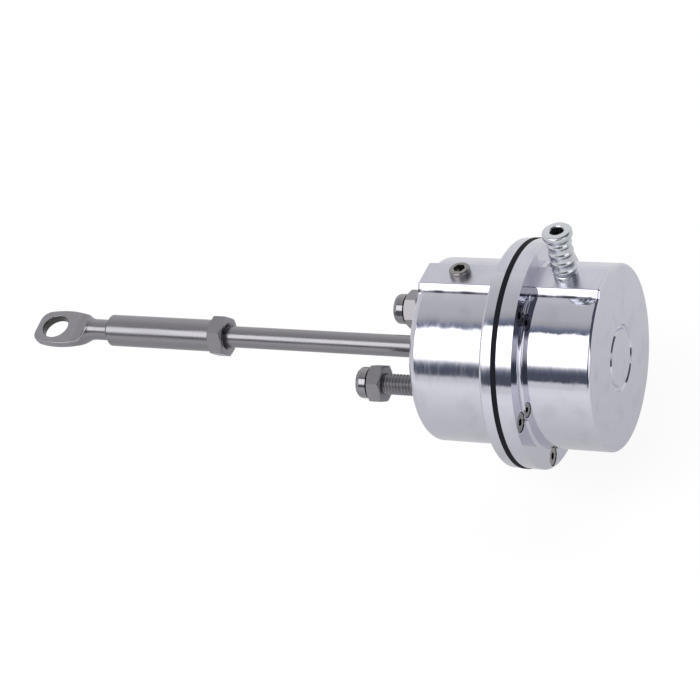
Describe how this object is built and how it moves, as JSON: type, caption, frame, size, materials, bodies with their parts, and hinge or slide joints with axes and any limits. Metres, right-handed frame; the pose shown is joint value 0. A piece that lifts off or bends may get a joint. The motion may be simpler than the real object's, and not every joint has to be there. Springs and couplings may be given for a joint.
{
  "type": "turbo wastegate actuator",
  "caption": "Round flanged can whose diaphragm pushes a sprung, adjustable rod that ends in an eye; pressure enters by a hose barb and the can mounts on threaded studs.",
  "frame": {"origin": "centre of the mounting face, on the rod's axis", "axes": "+X along the rod's axis towards the cap, +Z out of the flat pads and along the hose barb, the studs on the Y axis"},
  "size_m": [0.1883, 0.0644, 0.075],
  "materials": {
    "polished_aluminium": "polished",
    "piston_aluminium": "turned",
    "diaphragm_rubber": "fabric-reinforced",
    "seal_rubber": "smooth",
    "stainless_rod": "brushed along its length",
    "stainless_screw": "bright",
    "zinc_steel": "zinc plated",
    "plated_barb": "bright nickel plate",
    "spring_steel": "drawn wire",
    "bush_brass": "plain",
    "nylon": "matte"
  },
  "bodies": {
    "can": {"lower_housing": "polished_aluminium", "cap": "polished_aluminium", "diaphragm": "diaphragm_rubber", "hose_barb": "plated_barb", "port_plug": "stainless_screw", "flange_screws": "stainless_screw", "rod_bush": "bush_brass", "rod_seal": "seal_rubber", "spring_seat": "stainless_screw", "return_spring": "spring_steel", "mounting_stud_1": "zinc_steel", "mounting_stud_2": "zinc_steel", "lock_nut_1": "zinc_steel", "lock_nut_2": "zinc_steel", "lock_nut_insert_1": "nylon", "lock_nut_insert_2": "nylon"},
    "push_rod": {"rod": "stainless_rod", "piston": "piston_aluminium", "retainer_plate": "stainless_screw", "piston_nut": "zinc_steel"},
    "jam_nut": {"jam_nut": "stainless_rod"},
    "adjuster": {"adjusting_sleeve": "stainless_rod", "rod_end": "stainless_rod"}
  },
  "joints": [
    {"name": "rod_stroke", "type": "slide", "parent": "can", "child": "push_rod", "axis": [-1, 0, 0], "range_m": [0, 0.0127], "stiffness_N_per_m": 5300, "springref_m": -0.0102, "deforming": ["return_spring", "diaphragm"]},
    {"name": "jam_nut_travel", "type": "slide", "parent": "push_rod", "child": "jam_nut", "axis": [-1, 0, 0], "range_m": [0, 0.00636]},
    {"name": "sleeve_turn", "type": "hinge", "parent": "jam_nut", "child": "adjuster", "pos_m": [-0.07345, 0, 0], "axis": [-1, 0, 0], "range_deg": [0, 2520]}
  ],
  "couplings": [
    {"joint": "jam_nut_travel", "follows": "sleeve_turn", "m_per_rad": 0.00014438}
  ]
}
